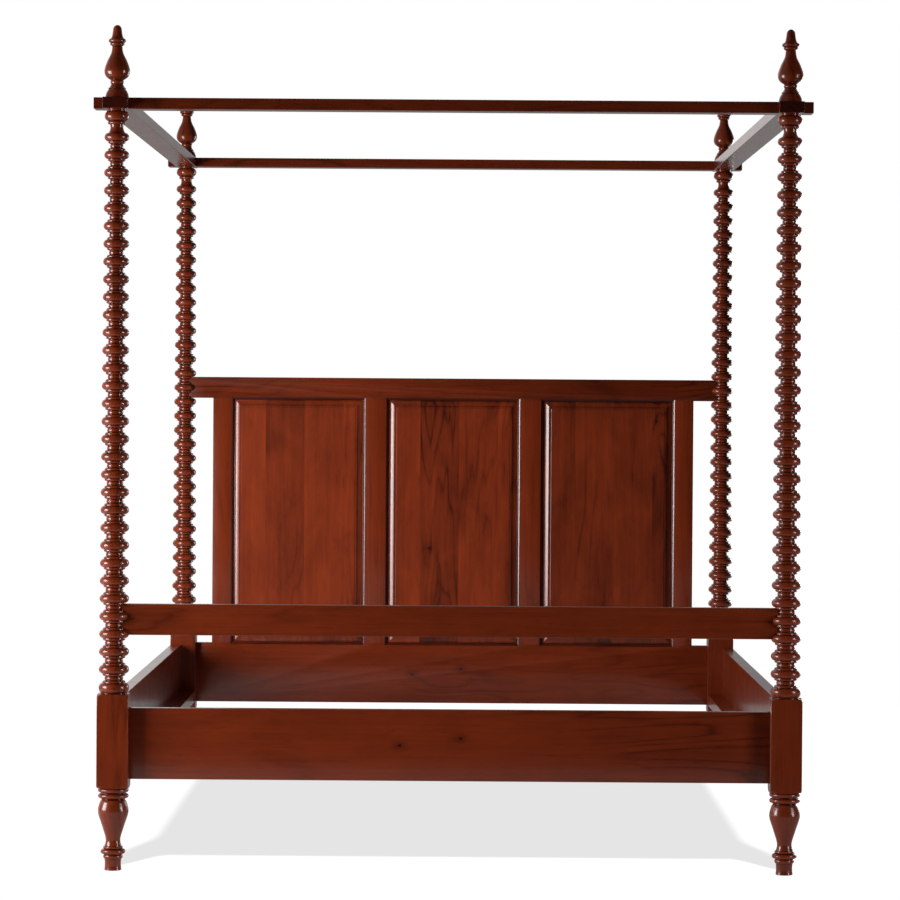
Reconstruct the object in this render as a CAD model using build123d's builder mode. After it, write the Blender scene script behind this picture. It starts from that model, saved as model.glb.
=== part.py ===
from build123d import *
import os

# Spool-turned four poster bed for a queen mattress, in millimetres.
# The origin is the middle of the bed at floor level. +Z is up, the headboard is
# toward +Y, the foot of the bed toward -Y and the bed's right side is +X.

os.makedirs("parts", exist_ok=True)

# The mattress sets the plan of the bed
MATTRESS_WIDTH = 1524
MATTRESS_LENGTH = 2032
MATTRESS_PLAY = 26                   # spare width between the two side rails
BEDDING_ROOM = 16                    # spare length between the head and foot blocks
BLOCK = 72                           # square block of each post
SIDE_RAIL_THICK = 30
CLEAR_WIDTH = MATTRESS_WIDTH + MATTRESS_PLAY
OUTER_WIDTH = CLEAR_WIDTH + 2 * SIDE_RAIL_THICK
POST_X = OUTER_WIDTH / 2 - BLOCK / 2
POST_Y = (MATTRESS_LENGTH + BEDDING_ROOM + BLOCK) / 2
RAIL_LENGTH = 2 * POST_Y - BLOCK     # side rail, between the blocks

# Post
BLOCK_BOTTOM = 189
BLOCK_TOP = 405
SHOULDER = 7                         # depth to which the lathe cuts the block's corners
SHOULDER_RADIUS = 36.2
CORNER_RADIUS = 51
BEADS = 32
BEAD_PITCH = 40.57
FIRST_BEAD = 419.7
BEAD_RADIUS = 34.7
SPOOL_TAPER = 6.4                    # radius lost from the first bead to the last
LAST_BEAD = FIRST_BEAD + (BEADS - 1) * BEAD_PITCH
POST_TOP = 1740

# Framed rails, all centred on the posts
RAIL_THICK = 26
LOW_RAIL_BOTTOM = 210
LOW_RAIL_TOP = 373
HEAD_RAIL_TOP = 379                  # the head rail stands a little above the others
FOOT_RAIL_BOTTOM = 540
FOOT_RAIL_TOP = 611
HOUSING_GAP = 8                      # a housed rail ends this far from the post's axis
TENON_THICK = 12
TENON_LENGTH = 40
TENON_SHOULDER = 20
ARRIS = 1.5

# Headboard
HEAD_TOP_BOTTOM = 1080
HEAD_TOP_TOP = 1140
PANEL_WIDTH = 375                    # sight size between stiles
OUTER_STILE = 57
INNER_STILE = 68
GROOVE_WIDE = 8
GROOVE_DEEP = 10
TONGUE_THICK = 7.6
TONGUE_LENGTH = 9
FIELD_RISE = 8
BEVEL = 16
STILE_TENON = 30
STILE_TENON_INSET = 13.5

# Slat ledger and its screws
LEDGER_WIDE = 41
LEDGER_TALL = 32
LEDGER_GAP = 4                       # from the ledger's end to the block
LEDGER_SCREWS = 6
LEDGER_SCREW_PITCH = 370
LEDGER_SCREW_LENGTH = 60
LEDGER_SCREW_RADIUS = 2.25
LEDGER_HEAD_RADIUS = 4.5

# Bed rail fittings: a hook plate in the rail's end and a slotted catch in the block
FITTING_X = OUTER_WIDTH / 2 - SIDE_RAIL_THICK / 2
HOOK_THICK = 3
HOOK_PLATE_BOTTOM = 240
HOOK_PLATE_TALL = 100
HOOK_PLATE_DEEP = 28
HOOK_HEIGHTS = (252, 306)            # where each hook bears on the catch
HOOK_REACH = 14
HOOK_NECK = 24
HOOK_DROP = 8
CATCH_THICK = 3.2
CATCH_WIDE = 20
CATCH_BOTTOM = 224
CATCH_TALL = 140
SLOT_WIDE = 4
SLOT_TALL = 33
POCKET_WIDE = 6
POCKET_DEEP = 17
POCKET_TALL = 46
POCKET_CLEARANCE = 2                 # under the hooks' noses
NOSE_GAP = 0.3
PIN_RADIUS = 2.5
PIN_LENGTH = 22
PIN_SETBACK = 14
CATCH_SCREW_RADIUS = 2
CATCH_HEAD_RADIUS = 4
CATCH_SCREW_LENGTH = 24
CATCH_SCREW_INSET = 8

# Tester frame, finials and their pins
TESTER_WIDE = 58
TESTER_TALL = 26
TESTER_TOP = POST_TOP + TESTER_TALL
FRONT_OVERHANG = 51                  # front and back rails, beyond the post's axis
SIDE_OVERHANG = 49                   # side rails, beyond the post's axis
FINIAL_PIN_RADIUS = 6.2
PIN_PLAY = 0.08                      # radial, in the tester and in the post
PIN_IN_POST = 40
PIN_IN_FINIAL = 30
SOCKET_DEPTH = 42

SIDES = {"left": -1, "right": 1}
ENDS = {"front": -1, "back": 1}


def save(piece, name):
    """Label a finished piece and write its STEP file."""
    piece.part.label = name
    export_step(piece.part, f"parts/{name}.step")


def bead_radius(z):
    """The spool's big beads shrink evenly toward the top."""
    return BEAD_RADIUS - SPOOL_TAPER * (z - FIRST_BEAD) / (LAST_BEAD - FIRST_BEAD)


def foot_outline():
    """Turned foot: toe, three rings, vase, and two rings under the block."""
    Line((0, 0), (19.6, 0))
    ThreePointArc((19.6, 0), (18.5, 13), (19.4, 26))
    ThreePointArc((19.4, 26), (22.6, 31), (20.6, 36))
    Line((20.6, 36), (22.6, 37.4))
    ThreePointArc((22.6, 37.4), (28.5, 43), (22.6, 48.6))
    Line((22.6, 48.6), (20.4, 49.2))
    ThreePointArc((20.4, 49.2), (22.6, 52.4), (19.5, 55.6))
    Spline((19.5, 55.6), (16.8, 72), (25.6, 102.3), (34.9, 133), (31.2, 154.5), (26.4, 162.5))
    Line((26.4, 162.5), (29.6, 165.4))
    ThreePointArc((29.6, 165.4), (35.2, 170.5), (29.6, 175.6))
    Line((29.6, 175.6), (29.6, 178.6))
    ThreePointArc((29.6, 178.6), (35.3, 183.7), (29.6, 188.8))
    Line((29.6, 188.8), (29.6, BLOCK_BOTTOM))


def spool_outline():
    """Big beads with a cove between each and the next, from the block's top to the last bead."""
    quirk = 9.2
    cove = 12.8
    shoulder = 6.7
    start = (BEAD_RADIUS - shoulder, FIRST_BEAD - quirk)
    Polyline((29.6, BLOCK_BOTTOM), (29.6, BLOCK_TOP), (26.6, BLOCK_TOP + 1), (26.6, start[1]), start)
    for i in range(BEADS):
        z = FIRST_BEAD + i * BEAD_PITCH
        r = bead_radius(z)
        above = bead_radius(z + BEAD_PITCH)
        top = (r - shoulder, z + quirk)
        ThreePointArc((r - shoulder, z - quirk), (r, z), top)
        if i < BEADS - 1:
            next_start = (above - shoulder, z + BEAD_PITCH - quirk)
            ThreePointArc(top, ((r + above) / 2 - cove, z + BEAD_PITCH / 2), next_start)


def crown_outline():
    """Small neck, collar and the ball that carries the tester."""
    last = (bead_radius(LAST_BEAD) - 6.7, LAST_BEAD + 9.2)
    ThreePointArc(last, (15, 1698), (15.4, 1706.5))
    ThreePointArc((15.4, 1706.5), (21, 1710), (19, 1713.5))
    ThreePointArc((19, 1713.5), (28.2, 1725), (20.5, 1737))
    Polyline((20.5, 1737), (20.5, POST_TOP), (0, POST_TOP), (0, 0))


# Square block, with its corners turned off at both ends
with BuildPart() as block:
    with BuildSketch(Plane.XY.offset(BLOCK_BOTTOM)):
        Rectangle(BLOCK, BLOCK)
    extrude(amount=BLOCK_TOP - BLOCK_BOTTOM)
    fillet(block.edges().filter_by(Axis.Z), ARRIS)
    with BuildSketch(Plane.XZ):
        with BuildLine():
            Line((0, BLOCK_BOTTOM), (SHOULDER_RADIUS, BLOCK_BOTTOM))
            low = ThreePointArc((SHOULDER_RADIUS, BLOCK_BOTTOM), (46, BLOCK_BOTTOM + 2.6),
                                (CORNER_RADIUS, BLOCK_BOTTOM + SHOULDER))
            side = Line(low @ 1, (CORNER_RADIUS, BLOCK_TOP - SHOULDER))
            ThreePointArc(side @ 1, (46, BLOCK_TOP - 2.6), (SHOULDER_RADIUS, BLOCK_TOP))
            Polyline((SHOULDER_RADIUS, BLOCK_TOP), (0, BLOCK_TOP), (0, BLOCK_BOTTOM))
        make_face()
    revolve(axis=Axis.Z, mode=Mode.INTERSECT)

# Turned post with its block and the socket for the finial's pin, before it is mortised
with BuildPart() as blank:
    with BuildSketch(Plane.XZ):
        with BuildLine():
            foot_outline()
            spool_outline()
            crown_outline()
        make_face()
    revolve(axis=Axis.Z)
    add(block.part)
    with Locations((0, 0, POST_TOP)):
        Hole(FINIAL_PIN_RADIUS + PIN_PLAY, depth=SOCKET_DEPTH)


def make_post(side, end):
    """Mortise one blank for its lower rail, its upper rail and the bed rail catch."""
    sx = SIDES[side]
    sy = ENDS[end]
    x = sx * POST_X
    y = sy * POST_Y
    face_y = y - sy * BLOCK / 2
    if end == "front":
        low, high = FOOT_RAIL_BOTTOM, FOOT_RAIL_TOP
    else:
        low, high = HEAD_TOP_BOTTOM, HEAD_TOP_TOP
    mortise_tall = LOW_RAIL_TOP - LOW_RAIL_BOTTOM - 2 * TENON_SHOULDER
    mortise_x = x - sx * (BLOCK / 2 - TENON_LENGTH / 2)
    catch_z = CATCH_BOTTOM + CATCH_TALL / 2
    with BuildPart() as post:
        with Locations((x, y, 0)):
            add(blank.part)
        with Locations((mortise_x, y, (LOW_RAIL_BOTTOM + LOW_RAIL_TOP) / 2)):
            Box(TENON_LENGTH, TENON_THICK, mortise_tall, mode=Mode.SUBTRACT)
        with Locations((x - sx * (HOUSING_GAP + BLOCK / 2), y, (low + high) / 2)):
            Box(BLOCK, RAIL_THICK, high - low, mode=Mode.SUBTRACT)
        with Locations((sx * FITTING_X, face_y + sy * CATCH_THICK / 2, catch_z)):
            Box(CATCH_WIDE, CATCH_THICK, CATCH_TALL, mode=Mode.SUBTRACT)
        for hook in HOOK_HEIGHTS:
            pocket_z = hook - HOOK_DROP - POCKET_CLEARANCE + POCKET_TALL / 2
            with Locations((sx * FITTING_X, face_y + sy * POCKET_DEEP / 2, pocket_z)):
                Box(POCKET_WIDE, POCKET_DEEP, POCKET_TALL, mode=Mode.SUBTRACT)
        for screw_z in catch_screw_heights():
            with BuildSketch(Plane.XZ.offset(-face_y)):
                with Locations((sx * FITTING_X, screw_z)):
                    Circle(CATCH_SCREW_RADIUS)
            extrude(amount=-sy * CATCH_SCREW_LENGTH, mode=Mode.SUBTRACT)
    save(post, f"post_{end}_{side}")


def catch_screw_heights():
    """The catch has one screw at its foot and one at its head."""
    return (CATCH_BOTTOM + CATCH_SCREW_INSET, CATCH_BOTTOM + CATCH_TALL - CATCH_SCREW_INSET)


def make_catch(side, end):
    """Slotted steel catch, let in flush with the block's inner face."""
    sx = SIDES[side]
    sy = ENDS[end]
    face_y = sy * (POST_Y - BLOCK / 2)
    with BuildPart() as catch:
        with BuildSketch(Plane.XZ.offset(-face_y)):
            with Locations((sx * FITTING_X, CATCH_BOTTOM + CATCH_TALL / 2)):
                Rectangle(CATCH_WIDE, CATCH_TALL)
            for hook in HOOK_HEIGHTS:
                with Locations((sx * FITTING_X, hook + SLOT_TALL / 2)):
                    Rectangle(SLOT_WIDE, SLOT_TALL, mode=Mode.SUBTRACT)
        extrude(amount=-sy * CATCH_THICK)
        for screw_z in catch_screw_heights():
            with BuildSketch(Plane.XZ.offset(-face_y)):
                with Locations((sx * FITTING_X, screw_z)):
                    Circle(CATCH_HEAD_RADIUS)
            with BuildSketch(Plane.XZ.offset(-face_y - sy * CATCH_THICK)):
                with Locations((sx * FITTING_X, screw_z)):
                    Circle(CATCH_SCREW_RADIUS)
            loft(mode=Mode.SUBTRACT)
    save(catch, f"post_catch_{end}_{side}")


def make_hooks(side, end):
    """Steel plate in a kerf in the side rail's end, with two hooks that drop into the catch."""
    sx = SIDES[side]
    sy = ENDS[end]
    face_y = sy * (POST_Y - BLOCK / 2)
    nose_y = face_y + sy * (CATCH_THICK + NOSE_GAP)
    tip_y = face_y + sy * HOOK_REACH
    back_y = face_y - sy * HOOK_PLATE_DEEP
    plate_top = HOOK_PLATE_BOTTOM + HOOK_PLATE_TALL
    with BuildPart() as hooks:
        with BuildSketch(Plane.YZ.offset(sx * FITTING_X)):
            with BuildLine():
                Polyline((back_y, HOOK_PLATE_BOTTOM), (face_y, HOOK_PLATE_BOTTOM), (face_y, plate_top),
                         (back_y, plate_top), close=True)
            make_face()
            for z in HOOK_HEIGHTS:
                with BuildLine():
                    Polyline((face_y - sy, z), (nose_y, z), (nose_y, z - HOOK_DROP),
                             (tip_y, z - HOOK_DROP), (tip_y, z + HOOK_NECK),
                             (face_y - sy, z + HOOK_NECK), close=True)
                make_face()
            for z in pin_heights():
                with Locations((face_y - sy * PIN_SETBACK, z)):
                    Circle(PIN_RADIUS, mode=Mode.SUBTRACT)
        extrude(amount=HOOK_THICK / 2, both=True)
    save(hooks, f"rail_hooks_{end}_{side}")


def pin_heights():
    """Two cross pins hold each hook plate."""
    return (HOOK_PLATE_BOTTOM + 18, HOOK_PLATE_BOTTOM + HOOK_PLATE_TALL - 18)


def make_hook_pins():
    """All eight cross pins, flush with the side rails' inner faces."""
    with BuildPart() as pins:
        for sx in SIDES.values():
            with BuildSketch(Plane.YZ.offset(sx * CLEAR_WIDTH / 2)):
                for sy in ENDS.values():
                    for z in pin_heights():
                        with Locations((sy * (RAIL_LENGTH / 2 - PIN_SETBACK), z)):
                            Circle(PIN_RADIUS)
            extrude(amount=sx * PIN_LENGTH)
    save(pins, "hook_pins")


def make_catch_screws():
    """All eight countersunk screws of the catches."""
    with BuildPart() as screws:
        for sx in SIDES.values():
            for sy in ENDS.values():
                face_y = sy * (POST_Y - BLOCK / 2)
                for z in catch_screw_heights():
                    with BuildSketch(Plane.XZ.offset(-face_y)):
                        with Locations((sx * FITTING_X, z)):
                            Circle(CATCH_HEAD_RADIUS)
                    with BuildSketch(Plane.XZ.offset(-face_y - sy * CATCH_THICK)):
                        with Locations((sx * FITTING_X, z)):
                            Circle(CATCH_SCREW_RADIUS)
                    loft()
                    with BuildSketch(Plane.XZ.offset(-face_y - sy * CATCH_THICK)):
                        with Locations((sx * FITTING_X, z)):
                            Circle(CATCH_SCREW_RADIUS)
                    extrude(amount=-sy * (CATCH_SCREW_LENGTH - CATCH_THICK))
    save(screws, "catch_screws")


def make_side_rail(side):
    """Plain board between the blocks, kerfed at both ends for the hook plates."""
    sx = SIDES[side]
    with BuildPart() as rail:
        with Locations((sx * FITTING_X, 0, (LOW_RAIL_BOTTOM + LOW_RAIL_TOP) / 2)):
            Box(SIDE_RAIL_THICK, RAIL_LENGTH, LOW_RAIL_TOP - LOW_RAIL_BOTTOM)
        fillet(rail.edges().filter_by(Axis.Y), ARRIS)
        for sy in ENDS.values():
            end_y = sy * RAIL_LENGTH / 2
            with Locations((sx * FITTING_X, end_y - sy * HOOK_PLATE_DEEP / 2,
                            HOOK_PLATE_BOTTOM + HOOK_PLATE_TALL / 2)):
                Box(HOOK_THICK, HOOK_PLATE_DEEP, HOOK_PLATE_TALL, mode=Mode.SUBTRACT)
            with BuildSketch(Plane.YZ.offset(sx * CLEAR_WIDTH / 2)):
                for z in pin_heights():
                    with Locations((end_y - sy * PIN_SETBACK, z)):
                        Circle(PIN_RADIUS)
            extrude(amount=sx * PIN_LENGTH, mode=Mode.SUBTRACT)
        with BuildSketch(Plane.YZ.offset(sx * CLEAR_WIDTH / 2)):
            with Locations((0, LOW_RAIL_BOTTOM + LEDGER_TALL / 2)):
                with GridLocations(LEDGER_SCREW_PITCH, 1, LEDGER_SCREWS, 1):
                    Circle(LEDGER_SCREW_RADIUS)
        extrude(amount=sx * (LEDGER_SCREW_LENGTH - LEDGER_WIDE), mode=Mode.SUBTRACT)
    save(rail, f"side_rail_{side}")


def make_ledger(side):
    """Slat ledger along the inner foot of the side rail, drilled for its screws."""
    sx = SIDES[side]
    inner_x = sx * (CLEAR_WIDTH / 2 - LEDGER_WIDE)
    with BuildPart() as ledger:
        with Locations((sx * (CLEAR_WIDTH - LEDGER_WIDE) / 2, 0, LOW_RAIL_BOTTOM + LEDGER_TALL / 2)):
            Box(LEDGER_WIDE, RAIL_LENGTH - 2 * LEDGER_GAP, LEDGER_TALL)
        fillet(ledger.edges().filter_by(Axis.Y).group_by(Axis.X)[0 if sx > 0 else -1], ARRIS)
        with Locations(Plane((inner_x, 0, LOW_RAIL_BOTTOM + LEDGER_TALL / 2),
                             x_dir=(0, 1, 0), z_dir=(-sx, 0, 0))):
            with GridLocations(LEDGER_SCREW_PITCH, 1, LEDGER_SCREWS, 1):
                CounterSinkHole(LEDGER_SCREW_RADIUS, LEDGER_HEAD_RADIUS, depth=LEDGER_WIDE,
                                counter_sink_angle=90)
    save(ledger, f"slat_ledger_{side}")


def make_ledger_screws():
    """All the screws that hold the two ledgers, heads flush with the ledgers' faces."""
    head = LEDGER_HEAD_RADIUS - LEDGER_SCREW_RADIUS
    with BuildPart() as screws:
        for sx in SIDES.values():
            inner_x = CLEAR_WIDTH / 2 - LEDGER_WIDE
            for i in range(LEDGER_SCREWS):
                y = (i - (LEDGER_SCREWS - 1) / 2) * LEDGER_SCREW_PITCH
                z = LOW_RAIL_BOTTOM + LEDGER_TALL / 2
                with BuildSketch(Plane.XY.offset(z)):
                    with BuildLine():
                        Polyline((sx * inner_x, y), (sx * inner_x, y + LEDGER_HEAD_RADIUS),
                                 (sx * (inner_x + head), y + LEDGER_SCREW_RADIUS),
                                 (sx * (inner_x + LEDGER_SCREW_LENGTH), y + LEDGER_SCREW_RADIUS),
                                 (sx * (inner_x + LEDGER_SCREW_LENGTH), y), close=True)
                    make_face()
                revolve(axis=Axis((0, y, z), (1, 0, 0)))
    save(screws, "ledger_screws")


def tenoned_rail(y, top, eased):
    """Lower cross rail with a shouldered tenon at each end; only the eased edges are rounded."""
    length = 2 * POST_X - BLOCK
    tenon_tall = LOW_RAIL_TOP - LOW_RAIL_BOTTOM - 2 * TENON_SHOULDER
    with BuildPart() as rail:
        with Locations((0, y, (LOW_RAIL_BOTTOM + top) / 2)):
            Box(length, RAIL_THICK, top - LOW_RAIL_BOTTOM)
        fillet(eased(rail.edges().filter_by(Axis.X)), ARRIS)
        with Locations((0, y, (LOW_RAIL_BOTTOM + LOW_RAIL_TOP) / 2)):
            Box(length + 2 * TENON_LENGTH, TENON_THICK, tenon_tall)
    return rail.part


def make_foot_rails():
    """Wide lower rail in the blocks and narrow upper rail housed in the spools."""
    with BuildPart() as lower:
        add(tenoned_rail(-POST_Y, LOW_RAIL_TOP, lambda found: found))
    save(lower, "foot_rail_lower")
    with BuildPart() as upper:
        with Locations((0, -POST_Y, (FOOT_RAIL_BOTTOM + FOOT_RAIL_TOP) / 2)):
            Box(2 * (POST_X - HOUSING_GAP), RAIL_THICK, FOOT_RAIL_TOP - FOOT_RAIL_BOTTOM)
    save(upper, "foot_rail_upper")


PANEL_PITCH = PANEL_WIDTH + INNER_STILE
INNER_STILE_X = PANEL_PITCH / 2
OUTER_STILE_X = 1.5 * PANEL_WIDTH + INNER_STILE + OUTER_STILE / 2
STILES = {
    "outer_left": (-OUTER_STILE_X, OUTER_STILE, (1,)),
    "inner_left": (-INNER_STILE_X, INNER_STILE, (-1, 1)),
    "inner_right": (INNER_STILE_X, INNER_STILE, (-1, 1)),
    "outer_right": (OUTER_STILE_X, OUTER_STILE, (-1,)),
}
PANELS = {"left": -PANEL_PITCH, "middle": 0, "right": PANEL_PITCH}


def cut_frame_joints(edge_z, into):
    """Groove a headboard rail for the panels and mortise it for the stiles."""
    for x in PANELS.values():
        with Locations((x, POST_Y, edge_z + into * GROOVE_DEEP / 2)):
            Box(PANEL_WIDTH + 2 * GROOVE_DEEP, GROOVE_WIDE, GROOVE_DEEP, mode=Mode.SUBTRACT)
    for x, width, _ in STILES.values():
        with Locations((x, POST_Y, edge_z + into * STILE_TENON / 2)):
            Box(width - 2 * STILE_TENON_INSET, GROOVE_WIDE, STILE_TENON, mode=Mode.SUBTRACT)


def make_headboard_rails():
    """Lower head rail in the blocks, and the top rail housed in the spools."""
    with BuildPart() as lower:
        add(tenoned_rail(POST_Y, HEAD_RAIL_TOP, lambda found: found.group_by(Axis.Z)[0]))
        cut_frame_joints(HEAD_RAIL_TOP, -1)
    save(lower, "head_rail_lower")
    with BuildPart() as top:
        with Locations((0, POST_Y, (HEAD_TOP_BOTTOM + HEAD_TOP_TOP) / 2)):
            Box(2 * (POST_X - HOUSING_GAP), RAIL_THICK, HEAD_TOP_TOP - HEAD_TOP_BOTTOM)
        cut_frame_joints(HEAD_TOP_BOTTOM, 1)
    save(top, "headboard_top_rail")


def make_stile(name):
    """Upright of the headboard, tenoned top and bottom and grooved for the panels."""
    x, width, grooved = STILES[name]
    tall = HEAD_TOP_BOTTOM - HEAD_RAIL_TOP
    with BuildPart() as stile:
        with Locations((x, POST_Y, (HEAD_TOP_BOTTOM + HEAD_RAIL_TOP) / 2)):
            Box(width, RAIL_THICK, tall)
            Box(width - 2 * STILE_TENON_INSET, GROOVE_WIDE, tall + 2 * STILE_TENON)
            for edge in grooved:
                with Locations((edge * (width - GROOVE_DEEP) / 2, 0, 0)):
                    Box(GROOVE_DEEP, GROOVE_WIDE, tall, mode=Mode.SUBTRACT)
    save(stile, f"headboard_stile_{name}")


def make_panel(name):
    """Raised panel: a tongued board with a bevelled field on the bed's side."""
    x = PANELS[name]
    tall = HEAD_TOP_BOTTOM - HEAD_RAIL_TOP
    middle = (HEAD_TOP_BOTTOM + HEAD_RAIL_TOP) / 2
    front = POST_Y - TONGUE_THICK / 2
    with BuildPart() as panel:
        with Locations((x, POST_Y, middle)):
            Box(PANEL_WIDTH + 2 * TONGUE_LENGTH, TONGUE_THICK, tall + 2 * TONGUE_LENGTH)
        with BuildSketch(Plane.XZ.offset(-front)):
            with Locations((x, middle)):
                Rectangle(PANEL_WIDTH - 2, tall - 2)
        with BuildSketch(Plane.XZ.offset(-front + FIELD_RISE)):
            with Locations((x, middle)):
                Rectangle(PANEL_WIDTH - 2 * BEVEL, tall - 2 * BEVEL)
        loft()
    save(panel, f"headboard_panel_{name}")


def drill_tester(corners):
    """Clearance holes for the finials' pins."""
    for x, y in corners:
        with Locations((x, y, TESTER_TOP)):
            Hole(FINIAL_PIN_RADIUS + PIN_PLAY, depth=TESTER_TALL)


def make_tester():
    """Four flat rails, halved together over the posts; their ends run on past each other."""
    middle = POST_TOP + TESTER_TALL / 2
    for end, sy in ENDS.items():
        corners = [(sx * POST_X, sy * POST_Y) for sx in SIDES.values()]
        with BuildPart() as rail:
            with Locations((0, sy * POST_Y, middle)):
                Box(2 * (POST_X + FRONT_OVERHANG), TESTER_WIDE, TESTER_TALL)
            fillet(rail.edges(), ARRIS)
            for x, y in corners:
                with Locations((x, y, POST_TOP + TESTER_TALL / 4)):
                    Box(TESTER_WIDE, TESTER_WIDE, TESTER_TALL / 2, mode=Mode.SUBTRACT)
            drill_tester(corners)
        save(rail, f"tester_rail_{end}")
    for side, sx in SIDES.items():
        corners = [(sx * POST_X, sy * POST_Y) for sy in ENDS.values()]
        with BuildPart() as rail:
            with Locations((sx * POST_X, 0, middle)):
                Box(TESTER_WIDE, 2 * (POST_Y + SIDE_OVERHANG), TESTER_TALL)
            fillet(rail.edges(), ARRIS)
            for x, y in corners:
                with Locations((x, y, TESTER_TOP - TESTER_TALL / 4)):
                    Box(TESTER_WIDE, TESTER_WIDE, TESTER_TALL / 2, mode=Mode.SUBTRACT)
            drill_tester(corners)
        save(rail, f"tester_rail_{side}")


# Vase finial above the tester, bored for its pin
with BuildPart() as finial_blank:
    with BuildSketch(Plane.XZ):
        with BuildLine():
            Line((0, TESTER_TOP), (26.8, TESTER_TOP))
            ThreePointArc((26.8, TESTER_TOP), (24.4, 1778.5), (19, 1787))
            Line((19, 1787), (21, 1788.2))
            ThreePointArc((21, 1788.2), (16.4, 1792.6), (13.8, 1798.5))
            ThreePointArc((13.8, 1798.5), (15.4, 1803), (14.2, 1807))
            Spline((14.2, 1807), (25.6, 1816), (29.2, 1830), (22.9, 1850.5), (14, 1869), (11.5, 1884.6))
            Line((11.5, 1884.6), (13.4, 1886.2))
            ThreePointArc((13.4, 1886.2), (16.5, 1889.6), (15.4, 1892.8))
            ThreePointArc((15.4, 1892.8), (20, 1897.4), (15.6, 1902))
            ThreePointArc((15.6, 1902), (12.4, 1907.5), (11.4, 1912))
            ThreePointArc((11.4, 1912), (10.6, 1917), (9.9, 1922.5))
            ThreePointArc((9.9, 1922.5), (7.9, 1929), (3, 1933))
            Polyline((3, 1933), (0, 1933), (0, TESTER_TOP))
        make_face()
    revolve(axis=Axis.Z)
    with Locations(Plane((0, 0, TESTER_TOP), z_dir=(0, 0, -1))):
        Hole(FINIAL_PIN_RADIUS, depth=PIN_IN_FINIAL)


def make_finial(side, end):
    """Finial and the pin glued into it."""
    x = SIDES[side] * POST_X
    y = ENDS[end] * POST_Y
    with BuildPart() as finial:
        with Locations((x, y, 0)):
            add(finial_blank.part)
    save(finial, f"finial_{end}_{side}")
    with BuildPart() as pin:
        with BuildSketch(Plane.XY.offset(POST_TOP - PIN_IN_POST)):
            with Locations((x, y)):
                Circle(FINIAL_PIN_RADIUS)
        extrude(amount=PIN_IN_POST + TESTER_TALL + PIN_IN_FINIAL)
        chamfer(pin.edges().group_by(Axis.Z)[0], 1)
    save(pin, f"finial_pin_{end}_{side}")


for end in ENDS:
    for side in SIDES:
        make_post(side, end)
        make_catch(side, end)
        make_hooks(side, end)
        make_finial(side, end)
for side in SIDES:
    make_side_rail(side)
    make_ledger(side)
make_hook_pins()
make_catch_screws()
make_ledger_screws()
make_foot_rails()
make_headboard_rails()
for name in STILES:
    make_stile(name)
for name in PANELS:
    make_panel(name)
make_tester()
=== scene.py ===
"""Spool-turned four poster bed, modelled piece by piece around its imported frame."""

import math

import bmesh
import bpy
import numpy as np
from mathutils import Matrix, Vector


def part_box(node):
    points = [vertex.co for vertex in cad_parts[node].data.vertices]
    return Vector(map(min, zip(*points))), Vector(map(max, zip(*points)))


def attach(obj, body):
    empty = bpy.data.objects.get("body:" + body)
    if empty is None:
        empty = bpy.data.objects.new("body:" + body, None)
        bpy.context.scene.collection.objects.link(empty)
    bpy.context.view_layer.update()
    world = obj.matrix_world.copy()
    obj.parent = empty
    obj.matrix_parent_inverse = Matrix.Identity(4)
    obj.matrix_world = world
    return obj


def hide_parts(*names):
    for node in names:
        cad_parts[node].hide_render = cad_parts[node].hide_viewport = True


bl_info = {
    "name": "Spool-turned four poster bed",
    "version": (1, 0, 0),
    "blender": (4, 5, 0),
    "location": "3D View > Sidebar > Four Poster",
    "description": "Builds a spool-turned four poster bed with its stain and its studio",
    "category": "Object",
}

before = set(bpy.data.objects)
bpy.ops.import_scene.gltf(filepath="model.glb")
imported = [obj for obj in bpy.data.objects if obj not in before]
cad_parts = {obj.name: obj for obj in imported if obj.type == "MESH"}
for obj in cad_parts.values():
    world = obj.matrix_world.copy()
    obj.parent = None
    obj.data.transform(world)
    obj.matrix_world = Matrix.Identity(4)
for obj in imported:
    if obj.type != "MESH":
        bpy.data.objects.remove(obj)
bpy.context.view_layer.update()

MM = 0.001
SIDES = ("left", "right")
ENDS = ("front", "back")
FRAME_BODY = "bed_frame"
PAINTED_SHADE = "recess"                  # vertex attribute of painted shade: 1 in a cut, darkened; -1 on a crest, painted lighter

# Turned pieces, in millimetres as drawn on the turner's rod
BLOCK_HALF = 36
BLOCK_BOTTOM = 189
BLOCK_TOP = 405
BLOCK_ARRIS = 71.12                # |x| + |y| on the block's eased corners
POST_TOP = 1740
BEADS = 32
BEAD_PITCH = 40.57
FIRST_BEAD = 419.7
LAST_BEAD = FIRST_BEAD + (BEADS - 1) * BEAD_PITCH
FINIAL_FOOT = 1766
FINIAL_TIP = 1933
SOCKET_RADIUS = 6.28               # of the finial pin's hole in the post
SOCKET_BOTTOM = 1698

# Spool, each as (depth below the bead's crest, distance from its middle)
BEAD_EDGE = (6.3, 9.2)
QUIRK = (8.7, 9.6)
RING = ((8.7, 9.8), (8.3, 11.9), (11.2, 14.9))
NECK_STEPS = ((12.9, 15.4), (14.2, 16.3))
NECK_EDGE = (14.1, 16.6)
NECK_CREST = 13.2                  # depth of the small bead's crest

# Joined pieces, in millimetres
FACE_DEPTH = 6.0                   # of the moulded boards' faces, before their cores
MOULDED_ARRIS = 0.6
BOARD_EMBED = 1.5                  # how far a rail's end stands inside the block
STICKING_BACK = 9.8                # from the face to the back of the frame's moulding
PANEL_TONGUE = 9
TONGUE_FACE = 9.2                  # from the frame's face back to the tongue's face
FIELD_STEP = 7.0                   # shallow step between the cove and the raised field
FIELD_MARGIN = 49.5                # from the cove to the middle face of the field
PANEL_BOARD = 0.11075              # width of the boards glued up for the panels, in metres
PANEL_BOARD_START = -0.5365        # where the first of them begins, in metres

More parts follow.
